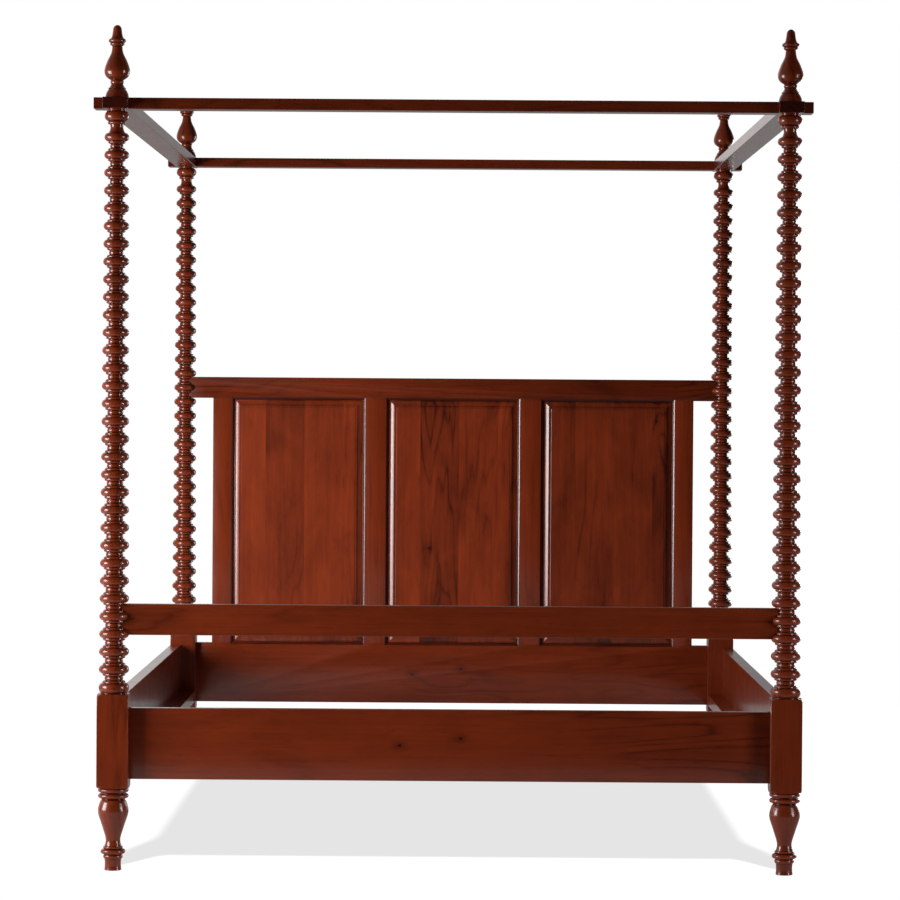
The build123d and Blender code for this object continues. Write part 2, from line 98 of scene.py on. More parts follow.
# Studio, in metres
FLOOR_RADIUS = 3.8
FLOOR_FRONT = -1.9                 # the floor ends here, in front of the bed
SHADE_HALF_WIDTH = 0.72            # of the shade under the bed
SHADE_FRONT = -0.784
SHADE_BACK = 1.0
SHADE_FLARE = -0.39                # from here forward the shade widens toward the feet
SHADE_SPREAD = 0.06                # how much wider it is beside the feet
SHADE_TAIL = 0.2                   # how far its front corners reach forward
SHADE_EDGE = 0.02                  # half the width of its soft edge
SOFT_BOXES = {                     # size, place, aim and spread in degrees
    "key": ((1.3, 1.4), (-3.1, -1.9, 1.0), (-0.3, -0.6, 0.9), 150),
    "side": ((0.7, 1.3), (-1.9, -0.35, 0.75), (0, 0.9, 0.6), 120),
    "fill": ((0.8, 1.8), (3.2, -2.4, 1.0), (0, -1.9, 0.8), 70),
    "back": ((1.6, 1.9), (2.6, 3.2, 1.1), (0.6, 0, 0.5), 150),
    "top": ((5.0, 5.0), (0, 0.3, 4.6), (0, 0.3, 0), 180),
}


# --------------------------------------------------------------------------
# Settings
# --------------------------------------------------------------------------

class BedShapeSettings(bpy.types.PropertyGroup):
    """Sizes that a turner or joiner would change."""

    bead_radius: bpy.props.FloatProperty(
        name="Bead radius", description="Radius of the lowest big bead of each post",
        default=0.0347, min=0.03, max=0.036, unit="LENGTH")
    spool_taper: bpy.props.FloatProperty(
        name="Spool taper", description="Radius lost from the lowest big bead to the highest",
        default=0.0064, min=0.0, max=0.012, unit="LENGTH")
    ring_segments: bpy.props.IntProperty(
        name="Ring segments", description="Facets round a quarter turn of each turned piece",
        default=16, min=8, max=24)
    arris: bpy.props.FloatProperty(
        name="Arris", description="Radius of the eased edges of the boards",
        default=0.0015, min=0.0005, max=0.004, unit="LENGTH")
    sticking_width: bpy.props.FloatProperty(
        name="Sticking width", description="Width of the moulding run on the headboard's frame",
        default=0.0077, min=0.003, max=0.012, unit="LENGTH")
    bevel_width: bpy.props.FloatProperty(
        name="Bevel width", description="Width of the coved bevel round each raised panel",
        default=0.0136, min=0.006, max=0.02, unit="LENGTH")


class BedFinishSettings(bpy.types.PropertyGroup):
    """Colours and gloss of the finishes."""

    stain_light: bpy.props.FloatVectorProperty(
        name="Stain on open wood", description="Colour of the stained wood where it took least",
        subtype="COLOR", size=3, default=(0.185, 0.0250, 0.0058), min=0, max=1)
    stain_dark: bpy.props.FloatVectorProperty(
        name="Stain in dense wood", description="Colour of the stained wood where it took most",
        subtype="COLOR", size=3, default=(0.060, 0.0074, 0.0020), min=0, max=1)
    pin_wood: bpy.props.FloatVectorProperty(
        name="Pin wood", description="Colour of the bare birch pins in the finials",
        subtype="COLOR", size=3, default=(0.56, 0.38, 0.21), min=0, max=1)
    steel: bpy.props.FloatVectorProperty(
        name="Fitting steel", description="Colour of the hook plates, catches and cross pins",
        subtype="COLOR", size=3, default=(0.36, 0.35, 0.34), min=0, max=1)
    screw: bpy.props.FloatVectorProperty(
        name="Screw steel", description="Colour of the passivated wood screws",
        subtype="COLOR", size=3, default=(0.52, 0.42, 0.24), min=0, max=1)
    lacquer_roughness: bpy.props.FloatProperty(
        name="Lacquer roughness", description="Roughness of the lacquer over the stain",
        default=0.2, min=0.02, max=0.6, subtype="FACTOR")


class BedStageSettings(bpy.types.PropertyGroup):
    """Floor, light and camera."""

    floor_colour: bpy.props.FloatVectorProperty(
        name="Floor colour", description="Colour of the studio floor",
        subtype="COLOR", size=3, default=(0.72, 0.72, 0.72), min=0, max=1)
    floor_glow: bpy.props.FloatProperty(
        name="Floor glow", description="Brightness of the floor where it is seen directly",
        default=1.45, min=0.0, max=2.0)
    floor_return: bpy.props.FloatProperty(
        name="Floor return", description="Light that the floor throws back on the bed by itself",
        default=0.12, min=0.0, max=2.0)
    shade: bpy.props.FloatProperty(
        name="Shade", description="Brightness of the floor under the bed beside the open floor",
        default=0.75, min=0.0, max=1.0, subtype="FACTOR")
    key_radiance: bpy.props.FloatProperty(
        name="Key radiance", description="Brightness of the large soft box at the left",
        default=13.0, min=0.0, max=100.0)
    side_radiance: bpy.props.FloatProperty(
        name="Side radiance", description="Brightness of the soft box beside the headboard",
        default=3.8, min=0.0, max=100.0)
    fill_radiance: bpy.props.FloatProperty(
        name="Fill radiance", description="Brightness of the tall soft box in front, at the right",
        default=3.0, min=0.0, max=100.0)
    back_radiance: bpy.props.FloatProperty(
        name="Back radiance", description="Brightness of the soft box behind, at the right",
        default=4.0, min=0.0, max=100.0)
    top_radiance: bpy.props.FloatProperty(
        name="Top radiance", description="Brightness of the wide panel overhead",
        default=0.05, min=0.0, max=100.0)
    camera_place: bpy.props.FloatVectorProperty(
        name="Camera place", description="Where the camera stands, in front of the bed's foot",
        subtype="TRANSLATION", size=3, default=(0.0208, -9.4266, 1.0958))
    camera_yaw: bpy.props.FloatProperty(
        name="Camera yaw", description="Turn of the camera toward the bed's right side",
        subtype="ANGLE", default=math.radians(-0.162))
    camera_pitch: bpy.props.FloatProperty(
        name="Camera pitch", description="Tilt of the camera below the horizon",
        subtype="ANGLE", default=math.radians(0.877))
    camera_roll: bpy.props.FloatProperty(
        name="Camera roll", description="Roll of the camera about its own axis",
        subtype="ANGLE", default=math.radians(-0.395))
    camera_lens: bpy.props.FloatProperty(
        name="Camera lens", description="Focal length on a sensor 36 mm wide",
        default=146.32, min=20.0, max=400.0, unit="CAMERA")


# --------------------------------------------------------------------------
# Mesh tools
# --------------------------------------------------------------------------

def finish_piece(name, mesh, material, nodes, body=FRAME_BODY, crease=40):
    """Put a mesh in the scene as a piece that stands for its CAD nodes."""
    mesh.polygons.foreach_set("use_smooth", [True] * len(mesh.polygons))
    mesh.set_sharp_from_angle(angle=math.radians(crease))
    mesh.materials.append(material)
    piece = bpy.data.objects.new(name, mesh)
    bpy.context.scene.collection.objects.link(piece)
    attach(piece, body)
    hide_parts(*nodes)
    return piece


def arc(start, through, end, steps):
    """Points of the arc through three points, the first left out."""
    (ax, ay), (bx, by), (cx, cy) = start, through, end
    d = 2 * (ax * (by - cy) + bx * (cy - ay) + cx * (ay - by))
    a2, b2, c2 = ax * ax + ay * ay, bx * bx + by * by, cx * cx + cy * cy
    ox = (a2 * (by - cy) + b2 * (cy - ay) + c2 * (ay - by)) / d
    oy = (a2 * (cx - bx) + b2 * (ax - cx) + c2 * (bx - ax)) / d
    radius = math.hypot(ax - ox, ay - oy)
    first = math.atan2(ay - oy, ax - ox)
    middle = (math.atan2(by - oy, bx - ox) - first) % math.tau
    sweep = (math.atan2(cy - oy, cx - ox) - first) % math.tau
    if middle > sweep:
        sweep -= math.tau
    turns = [first + sweep * i / steps for i in range(1, steps + 1)]
    return [(ox + radius * math.cos(t), oy + radius * math.sin(t)) for t in turns]


def flowing(points, steps=9):
    """A smooth curve through points, the first left out."""
    found = []
    padded = [points[0], *points, points[-1]]
    for p0, p1, p2, p3 in zip(padded, padded[1:], padded[2:], padded[3:]):
        for i in range(1, steps + 1):
            t = i / steps
            found.append(tuple(
                0.5 * (2 * b + (c - a) * t + (2 * a - 5 * b + 4 * c - d) * t ** 2
                       + (3 * b - a - 3 * c + d) * t ** 3)
                for a, b, c, d in zip(p0, p1, p2, p3)))
    return found


def outline(start, *cuts):
    """Join cuts: a point, an arc as (through, end, steps), or a list of points to flow through."""
    points = [start]
    for cut in cuts:
        if isinstance(cut, list):
            points += flowing([points[-1], *cut])
        elif len(cut) == 3:
            points += arc(points[-1], *cut)
        else:
            points.append(cut)
    return points


def turn_angles(segments, corners):
    """Angles of one turn; a square block also gets rows close to its corners."""
    quarter = [90 * i / segments for i in range(segments)]
    if corners:
        quarter = [a for a in quarter if abs(a - 45) >= 4]
        quarter = sorted(quarter + [43.0, 44.29, 45.0, 45.71, 47.0])
    return [math.radians(a + 90 * k) for k in range(4) for a in quarter]


def painted_shade_along(profile, reach=3.5, depth=3.0):
    """How far each profile point lies in a cut (1) or on a crest (-1), for painted shade in the
    cuts and painted light on the crests.
    """
    points = np.array(profile)
    along = np.concatenate([[0], np.cumsum(np.hypot(*np.diff(points, axis=0).T))])
    radius = points[:, 0]
    nearby = (np.interp(along - reach, along, radius) + np.interp(along + reach, along, radius)) / 2
    return np.clip((nearby - radius) / depth, -1, 1)


def shade_marked_mesh(name, verts, faces, marks):
    """A mesh whose vertices carry how far they lie in a cut, for the painted shade in the stain."""
    mesh = bpy.data.meshes.new(name)
    mesh.from_pydata(verts, [], faces)
    mesh.attributes.new(PAINTED_SHADE, "FLOAT", "POINT").data.foreach_set("value", marks)
    mesh.validate()
    return mesh


def turned_mesh(name, profile, place, segments, block=None):
    """Revolve (radius, height) points in millimetres about the post's own axis.

    The outline starts and ends on the axis. Between the two heights of block the rings are squared.
    """
    angles = turn_angles(segments, block is not None)
    cosine, sine = np.cos(angles), np.sin(angles)
    square = np.minimum(BLOCK_HALF / np.maximum(abs(cosine), abs(sine)),
                        BLOCK_ARRIS / (abs(cosine) + abs(sine)))
    inner = profile[1:-1]
    # painted shade: darker in the turned cuts, lighter on the crests; none on the square block
    cut = painted_shade_along(profile)
    verts = [(place[0], place[1], profile[0][1] * MM)]
    marks = [cut[0]]
    for (radius, height), mark in zip(inner, cut[1:-1]):
        reach = np.full(len(angles), float(radius))
        if block and block[0] <= height <= block[1]:
            reach = np.minimum(square, reach)
            mark = 0.0
        verts += [(place[0] + r * c * MM, place[1] + r * s * MM, height * MM)
                  for r, c, s in zip(reach, cosine, sine)]
        marks += [mark] * len(angles)
    verts.append((place[0], place[1], profile[-1][1] * MM))
    marks.append(cut[-1])
    around = len(angles)
    faces = []
    for k in range(around):
        nxt = (k + 1) % around
        faces.append((0, 1 + nxt, 1 + k))
        for ring in range(len(inner) - 1):
            low, high = 1 + ring * around, 1 + (ring + 1) * around
            faces.append((low + k, low + nxt, high + nxt, high + k))
        last = 1 + (len(inner) - 1) * around
        faces.append((last + k, last + nxt, len(verts) - 1))
    return shade_marked_mesh(name, verts, faces, marks)


def add_board(shape, low, high, arris):
    """Add a board with eased edges to a bmesh."""
    low, high = Vector(low), Vector(high)
    made = bmesh.ops.create_cube(shape, size=1, matrix=Matrix.LocRotScale(
        (low + high) / 2, None, high - low))
    edges = list({e for v in made["verts"] for e in v.link_edges})
    bmesh.ops.bevel(shape, geom=edges, offset=arris, segments=3, profile=0.5, affect="EDGES")


def add_plate(shape, face, front, back, arris):
    """Add the face of a moulded board: an (x, z) outline with eased front edges."""
    verts = [shape.verts.new((x, front, z)) for x, z in face]
    made = bmesh.ops.extrude_face_region(shape, geom=[shape.faces.new(verts)])
    moved = [v for v in made["geom"] if isinstance(v, bmesh.types.BMVert)]
    bmesh.ops.translate(shape, verts=moved, vec=(0, back - front, 0))
    if not any(set(f.verts) == set(verts) for f in verts[0].link_faces):
        shape.faces.new(verts)     # extruding used up the first one
    edges = [e for e in {e for v in verts for e in v.link_edges}
             if all(v in verts for v in e.verts)]
    bmesh.ops.bevel(shape, geom=edges, offset=arris, segments=2, profile=0.5, affect="EDGES")


def sticking_section(width):
    """Section of the frame's moulding: (inward from the sight edge, back from the face, painted
    shade).
    """
    half = width / MM / 2
    start, end = (0.4 - half, 2.0), (half, 9.0)
    ovolo = arc(start, (0.25 * half, 4.9), end, 8)
    # the moulding is almost all painted dark: painted shade for the shadow in the ovolo
    return [(*start, 1.0), *((*point, 0.9) for point in ovolo[:-1]), (*end, 1.0),
            (half, STICKING_BACK, 1.0), (start[0], STICKING_BACK, 1.0)]


def add_sticking(shape, layer, corners, face_y, section, edge):
    """Add one mitred run of moulding along one edge of a panel opening.

    corners is (left, right, bottom, top) of the opening, in metres; edge names the side it is on.
    """
    left, right, bottom, top = corners
    rows = []
    for inward, back, _ in section:
        d, y = inward * MM, face_y + back * MM
        rows.append({
            "left": ((left + d, y, bottom + d), (left + d, y, top - d)),
            "right": ((right - d, y, top - d), (right - d, y, bottom + d)),
            "bottom": ((right - d, y, bottom + d), (left + d, y, bottom + d)),
            "top": ((left + d, y, top - d), (right - d, y, top - d)),
        }[edge])
    starts = [shape.verts.new(a) for a, _ in rows]
    ends = [shape.verts.new(b) for _, b in rows]
    # each vertex takes the painted shade of its point in the section
    for vert, (_, _, mark) in zip(starts + ends, section * 2):
        vert[layer] = mark
    for i in range(len(rows)):
        j = (i + 1) % len(rows)
        shape.faces.new((starts[i], starts[j], ends[j], ends[i]))
    shape.faces.new(starts[::-1])
    shape.faces.new(ends)


def board_mesh(name, low, high, arris):
    """A plain board with eased edges."""
    shape = bmesh.new()
    add_board(shape, low, high, arris)
    return board_done(shape, name)


def moulded_mesh(name, low, high, face, stickings, section):
    """A board whose face has a cut outline, with the runs of moulding that lie in the cuts."""
    shape = bmesh.new()
    # layer of painted shade for the runs of moulding
    layer = shape.verts.layers.float.new(PAINTED_SHADE)
    core = low[1] + FACE_DEPTH * MM
    add_board(shape, (low[0], core, low[2]), high, MOULDED_ARRIS * MM)
    add_plate(shape, face, low[1], core + MOULDED_ARRIS * MM, MOULDED_ARRIS * MM)
    for corners, edge in stickings:
        add_sticking(shape, layer, corners, low[1], section, edge)
    return board_done(shape, name)


def board_done(shape, name):
    """Turn a finished bmesh into a mesh."""
    bmesh.ops.recalc_face_normals(shape, faces=shape.faces)
    mesh = bpy.data.meshes.new(name)
    shape.to_mesh(mesh)
    shape.free()
    return mesh


# --------------------------------------------------------------------------
# Finishes
# --------------------------------------------------------------------------

class NodeBench:
    """Short ways to lay and join the nodes of one material or world."""

    def __init__(self, owner):
        owner.use_nodes = True
        self.owner = owner
        self.tree = owner.node_tree

    def surface(self, **inputs):
        """Feed the shader's own inputs, named with underscores for spaces."""
        shader = self.tree.nodes["Principled BSDF"]
        for key, value in inputs.items():
            self.feed(shader.inputs[key.replace("_", " ")], value)

    def add(self, kind, settings=None, **inputs):
        """Lay one node, set its options and its inputs by name or place."""
        node = self.tree.nodes.new("ShaderNode" + kind)
        for key, value in (settings or {}).items():
            setattr(node, key, value)
        for key, value in inputs.items():
            socket = node.inputs[int(key[1:])] if key[1:].isdigit() else node.inputs[key]
            self.feed(socket, value)
        return node

    def feed(self, socket, value):
        """Join an output to a socket, or set its plain value."""
        if isinstance(value, bpy.types.NodeSocket):
            self.tree.links.new(value, socket)
        else:
            socket.default_value = value

    def sum(self, kind, a, b=0.0, c=0.0):
        """One math node."""
        return self.add("Math", {"operation": kind}, _0=a, _1=b, _2=c).outputs[0]

    def ramp(self, value, low, high, to_low=0.0, to_high=1.0):
        """Smooth rise from one level to another."""
        node = self.add("MapRange", {"interpolation_type": "SMOOTHSTEP"}, Value=value)
        for key, number in (("From Min", low), ("From Max", high),
                            ("To Min", to_low), ("To Max", to_high)):
            node.inputs[key].default_value = number
        return node.outputs[0]

    def vary(self, level, noise, amount):
        """Move a level up and down with a noise."""
        return self.sum("MULTIPLY_ADD", self.sum("SUBTRACT", noise, 0.5), amount, level)

    def axes(self, kind):
        """The three parts of one of the texture coordinates."""
        return self.add("SeparateXYZ", None,
                        _0=self.add("TexCoord").outputs[kind]).outputs

    def noise(self, vector, scale=1.0, detail=2.0, rough=0.5, twist=0.0):
        """Noise from 0 to 1."""
        return self.add("TexNoise", None, Vector=vector, Scale=scale, Detail=detail,
                        Roughness=rough, Distortion=twist).outputs[0]

    def scaled(self, parts, factors, shift=(0.0, 0.0, 0.0)):
        """The grain's own coordinates, stretched and shifted."""
        x, y, z = (self.sum("MULTIPLY_ADD", p, f, s) for p, f, s in zip(parts, factors, shift))
        return self.add("CombineXYZ", None, _0=x, _1=y, _2=z).outputs[0]

    def blend(self, factor, first, second):
        """A colour between two colours."""
        node = self.add("Mix", {"data_type": "RGBA"}, Factor=factor, _6=first, _7=second)
        return node.outputs[2]

    def tones(self, level, *stops):
        """A colour for each level, from (level, colour) stops."""
        node = self.add("ValToRGB", None, _0=level)
        marks = node.color_ramp.elements
        marks[0].position, marks[1].position = stops[0][0], stops[-1][0]
        for place, _ in stops[1:-1]:
            marks.new(place)
        for mark, (_, colour) in zip(marks, stops):
            mark.color = (*colour, 1)
        return node.outputs[0]

    def bump(self, height, strength, distance):
        """Raise the surface a little."""
        node = self.add("Bump", None, Height=height, Strength=strength, Distance=distance)
        self.surface(Normal=node.outputs[0])


GRAIN = {"X": (2, 1, 0), "Y": (2, 0, 1), "Z": (0, 1, 2)}   # across, through, along


def stained_wood(name, grain, light, dark, gloss, seed=0.0, figure=0.5, blotch=0.4,
                 knots=0.0, boards=0.0, board_start=0.0, tone=0.0):
    """Stained and lacquered cherry, with figure, fibres, pores, end grain, pin knots and painted
    shade.
    """
    bench = NodeBench(bpy.data.materials.new(name))
    place = bench.axes("Object")
    across, through, along = (place[i] for i in GRAIN[grain])
    if boards:
        cell = bench.sum("DIVIDE", bench.sum("SUBTRACT", across, board_start), boards)
        number = bench.sum("FLOOR", cell)
        lot = bench.add("TexWhiteNoise", {"noise_dimensions": "1D"}, W=number).outputs[0]
        lift = bench.sum("MULTIPLY_ADD", lot, 0.16, -0.08)
        part = bench.sum("FRACT", cell)
        edge = bench.sum("MINIMUM", part, bench.sum("SUBTRACT", 1.0, part))
        seam = bench.ramp(edge, 0.0, 0.006, 1.0, 0.0)
        through = bench.sum("MULTIPLY_ADD", lot, 3.1, through)
        along = bench.sum("MULTIPLY_ADD", lot, 7.3, along)
    parts = (across, through, along)
    shift = (seed, seed * 0.7, seed * 1.3)

    drift = bench.noise(bench.scaled(parts, (5.0, 5.0, 1.2), shift), detail=1.5)
    field = bench.noise(bench.scaled(parts, (8.0, 8.0, 1.1), shift), detail=2.6, rough=0.45,
                        twist=0.4)
    turns = bench.sum("MULTIPLY_ADD", field, 40.0, bench.sum("MULTIPLY", drift, 12.0))
    rings = bench.sum("SUBTRACT", 1.0, bench.sum("ABSOLUTE", bench.sum("SINE", turns)))
    rings = bench.sum("POWER", rings, 2.2)
    shown = bench.ramp(bench.noise(bench.scaled(parts, (4.0, 4.0, 1.6), shift), detail=1.0),
                       0.40, 0.62)
    rings = bench.sum("MULTIPLY", rings, shown)
    fibre = bench.noise(bench.scaled(parts, (420.0, 420.0, 11.0), shift), detail=3.0, rough=0.6)
    streak = bench.noise(bench.scaled(parts, (95.0, 95.0, 2.2), shift), detail=3.0, rough=0.6)
    cloud = bench.noise(bench.scaled(parts, (13.0, 13.0, 6.0), shift), detail=4.0, rough=0.62,
                        twist=0.5)
    broad = bench.noise(bench.scaled(parts, (3.2, 3.2, 1.3), shift), detail=2.0)
    fleck = bench.ramp(bench.noise(bench.scaled(parts, (260.0, 260.0, 26.0), shift),
                                   detail=2.0), 0.60, 0.72)
    pores = bench.ramp(bench.noise(bench.scaled(parts, (1500.0, 1500.0, 95.0), shift),
                                   detail=1.0), 0.66, 0.74)

    level = bench.sum("MULTIPLY_ADD", rings, -0.26 * figure, 0.60 + tone)
    for noise, amount in ((streak, 0.34 * figure), (fibre, 0.24), (cloud, 0.75 * blotch),
                          (broad, 0.70 * blotch)):
        level = bench.vary(level, noise, amount)
    level = bench.sum("MULTIPLY_ADD", fleck, -0.10, level)
    level = bench.sum("MULTIPLY_ADD", pores, -0.12, level)
    if boards:
        level = bench.sum("ADD", level, lift)
        level = bench.sum("MULTIPLY_ADD", seam, -0.10, level)
    if knots:
        flat = bench.scaled((across, along, across), (5.5, 3.6, 0.0), (seed, seed, 0.0))
        cells = bench.add("TexVoronoi", {"voronoi_dimensions": "2D", "feature": "F1"},
                          Vector=flat, Scale=1.0)
        chosen = bench.add("SeparateColor", None, _0=cells.outputs["Color"]).outputs[0]
        chosen = bench.ramp(chosen, 1.0 - knots, 1.001 - knots)
        core = bench.ramp(cells.outputs["Distance"], 0.004, 0.022, 1.0, 0.0)
        halo = bench.ramp(cells.outputs["Distance"], 0.0, 0.11, 1.0, 0.0)
        mark = bench.sum("MULTIPLY", chosen, bench.sum("MULTIPLY_ADD", core, 0.55,
                                                       bench.sum("MULTIPLY", halo, 0.18)))
        level = bench.sum("SUBTRACT", level, mark)
    facing = bench.axes("Normal")[GRAIN[grain][2]]
    end_grain = bench.ramp(bench.sum("ABSOLUTE", facing), 0.55, 1.0)
    level = bench.sum("MULTIPLY_ADD", end_grain, -0.30, level)
    # painted shade: the stain darkens in the marked cuts and lightens on the marked crests
    cut = bench.add("Attribute", {"attribute_name": PAINTED_SHADE}).outputs["Fac"]
    level = bench.sum("MULTIPLY_ADD", cut, -0.34, level)

    smear = bench.noise(bench.scaled(parts, (21.0, 21.0, 13.0), shift), detail=3.0)
    dull = bench.sum("MULTIPLY_ADD", smear, 0.14, 0.24)
    dull = bench.sum("MULTIPLY_ADD", end_grain, 0.08, dull)
    colour = bench.tones(level, (0.0, dark * 0.45), (0.26, dark), (0.62, light),
                         (1.0, light * 1.65))
    bench.surface(Base_Color=colour, Roughness=dull, Specular_IOR_Level=0.06, Coat_Weight=0.85,
                  Coat_Roughness=gloss, Coat_IOR=1.5)
    height = bench.sum("MULTIPLY_ADD", fibre, 0.35, bench.sum("MULTIPLY", streak, 0.4))
    height = bench.sum("MULTIPLY_ADD", pores, -0.5, height)
    height = bench.sum("MULTIPLY_ADD", rings, 0.15, height)
    bench.bump(height, 0.25, 0.0004)
    return bench.owner


def bare_wood(name, colour):
    """Turned birch pin: pale, with fine straight fibres."""
    bench = NodeBench(bpy.data.materials.new(name))
    place = bench.axes("Object")
    fibre = bench.noise(bench.scaled(place, (600.0, 600.0, 22.0)), detail=3.0)
    cloud = bench.noise(bench.scaled(place, (40.0, 40.0, 9.0)), detail=2.0)
    level = bench.sum("MULTIPLY_ADD", fibre, 0.6, bench.sum("MULTIPLY", cloud, 0.4))
    bench.surface(Base_Color=bench.tones(level, (0.25, colour * 0.62), (0.75, colour * 1.15)),
                  Roughness=bench.sum("MULTIPLY_ADD", fibre, 0.25, 0.5))
    bench.bump(fibre, 0.3, 0.0002)
    return bench.owner


def rolled_steel(name, colour, rough):
    """Steel with a faint mill grain and dull patches."""
    bench = NodeBench(bpy.data.materials.new(name))
    place = bench.axes("Object")
    grain = bench.noise(bench.scaled(place, (300.0, 1400.0, 1400.0)), detail=2.0)
    patch = bench.noise(bench.scaled(place, (90.0, 90.0, 90.0)), detail=3.0)
    bench.surface(Base_Color=bench.tones(patch, (0.3, colour * 0.7), (0.7, colour * 1.15)),
                  Metallic=1.0, Roughness=bench.sum("MULTIPLY_ADD", patch, 0.22, rough))
    bench.bump(grain, 0.15, 0.0001)
    return bench.owner


PANEL = {"grain": "Z", "dull": 0.05, "figure": 1.0, "blotch": 0.95, "knots": 0.24,
         "boards": PANEL_BOARD, "board_start": PANEL_BOARD_START}
RAIL = {"grain": "X", "figure": 0.85, "blotch": 0.48, "knots": 0.16}
# the tester's lower tone is painted shade, for the dimmer light up at the tester
TESTER = {"figure": 0.55, "blotch": 0.35, "tone": -0.16}
CHERRY = {                         # each lot of the bed's wood; the panels' and the tester's tones hold painted light and shade
    "turned_cherry": {"grain": "Z", "seed": 3.7, "figure": 0.75, "blotch": 0.30},
    "stile_cherry": {"grain": "Z", "seed": 11.2, "figure": 0.7, "blotch": 0.35, "tone": 0.03},
    # the panels' tones step down from left to right: painted light, for the key light falling off
    # across the headboard
    "panel_cherry_left": {**PANEL, "seed": 7.9, "tone": 0.17},
    "panel_cherry_middle": {**PANEL, "seed": 21.3, "tone": 0.11},
    "panel_cherry_right": {**PANEL, "seed": 33.8, "tone": -0.02},
    "lower_rail_cherry": {**RAIL, "seed": 5.3, "tone": 0.02},
    "upper_rail_cherry": {**RAIL, "seed": 8.6, "tone": -0.02},
    "top_rail_cherry": {**RAIL, "seed": 5.3, "tone": -0.13},
    "long_rail_cherry": {"grain": "Y", "seed": 9.1, "figure": 0.8, "blotch": 0.40,
                         "knots": 0.12},
    "tester_cherry": {**TESTER, "grain": "X", "seed": 14.6},
    "tester_side_cherry": {**TESTER, "grain": "Y", "seed": 16.8},
}


def finish(name):
    """The named finish, made the first time it is asked for."""
    if name in bpy.data.materials:
        return bpy.data.materials[name]
    choice = bpy.context.scene.bed_finish
    if name in CHERRY:
        lot = dict(CHERRY[name])
        gloss = choice.lacquer_roughness + lot.pop("dull", 0.0)
        return stained_wood(name, light=Vector(choice.stain_light),
                            dark=Vector(choice.stain_dark), gloss=gloss, **lot)
    if name == "pin_birch":
        return bare_wood(name, Vector(choice.pin_wood))
    if name == "fitting_steel":
        return rolled_steel(name, Vector(choice.steel), 0.34)
    if name == "screw_steel":
        return rolled_steel(name, Vector(choice.screw), 0.26)
    raise RuntimeError(f"no finish is named {name}")


def coat(node, finish_name):
    """Give a carried-over CAD node its finish."""
    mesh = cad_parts[node].data
    mesh.materials.clear()
    mesh.materials.append(finish(finish_name))


# --------------------------------------------------------------------------
# Turned pieces
# --------------------------------------------------------------------------

def bead_radius(z):
    """Radius of the big bead at a height, in millimetres."""
    shape = bpy.context.scene.bed_shape
    share = (z - FIRST_BEAD) / (LAST_BEAD - FIRST_BEAD)
    return (shape.bead_radius - shape.spool_taper * share) / MM


def beside(z, way, *marks):
    """Spool marks set off from the crest of the bead at a height, upward or downward."""
    r = bead_radius(z)
    return [(r - depth, z + way * away) for depth, away in marks]


def foot_outline():
    """Toe, rings, vase and the two rings under the block."""
    return outline(
        (18.4, 0), (19.6, 1.2), ((18.5, 13), (19.4, 26), 6), ((22.6, 31), (20.6, 36), 7),
        (22.6, 37.4), ((28.5, 43), (22.6, 48.6), 12), (20.4, 49.2),
        ((22.6, 52.4), (19.5, 55.6), 7),
        [(16.8, 72), (25.6, 102.3), (34.9, 133), (31.2, 154.5), (26.4, 162.5)],
        (29.6, 165.4), ((35.2, 170.5), (29.6, 175.6), 10), (28.6, 176.0), (28.6, 178.4),
        (29.6, 178.6), ((35.3, 183.7), (29.6, 188.8), 10), (29.6, BLOCK_BOTTOM))


def block_outline():
    """Block with its corners turned off; the rings between are squared."""
    return outline(
        (36.2, BLOCK_BOTTOM), ((46, 191.6), (51, 196), 7),
        (51, 230), (51, 270), (51, 320), (51, 365), (51, 398),
        ((46, 402.4), (36.2, BLOCK_TOP), 7), (31.0, BLOCK_TOP),
        (30.0, BLOCK_TOP + 0.4), (30.0, BLOCK_TOP + 1.1))


def spool_outline():
    """Big beads, each with a ring on both sides and a small bead in the neck between."""
    points = []
    for i in range(BEADS):
        z = FIRST_BEAD + i * BEAD_PITCH
        crest = (bead_radius(z), z)
        low, high = beside(z, -1, BEAD_EDGE)[0], beside(z, 1, BEAD_EDGE)[0]
        if i == 0:
            points += arc((30.6, BLOCK_TOP + 1.4), beside(z, -1, (1.3, 8))[0], crest, 9)
            points += arc(crest, beside(z, 1, (1.3, 4.9))[0], high, 6)
        else:
            points += [low, *arc(low, crest, high, 10)]
        points += beside(z, 1, QUIRK)
        if i == BEADS - 1:
            break
        above = z + BEAD_PITCH
        neck = ((crest[0] + bead_radius(above)) / 2 - NECK_CREST, z + BEAD_PITCH / 2)
        points += [*arc(*beside(z, 1, *RING), 5), *beside(z, 1, *NECK_STEPS),
                   *arc(*beside(z, 1, NECK_EDGE), neck, *beside(above, -1, NECK_EDGE), 6),
                   *beside(above, -1, *NECK_STEPS[::-1], RING[2]),
                   *arc(*beside(above, -1, *RING[::-1]), 5), *beside(above, -1, QUIRK)]
    return points


def crown_outline():
    """Neck, small bead, ball and the seat of the tester, with the finial pin's socket."""
    return outline(
        *beside(LAST_BEAD, 1, QUIRK), ((15.4, 1695), (15.0, 1702), 9), (15.4, 1706.5),
        ((21, 1710), (19, 1713.5), 8), ((28.2, 1725), (20.5, 1737), 14),
        (20.5, POST_TOP - 0.4), (20.1, POST_TOP), (SOCKET_RADIUS, POST_TOP),
        (SOCKET_RADIUS, SOCKET_BOTTOM), (0, SOCKET_BOTTOM))[1:]


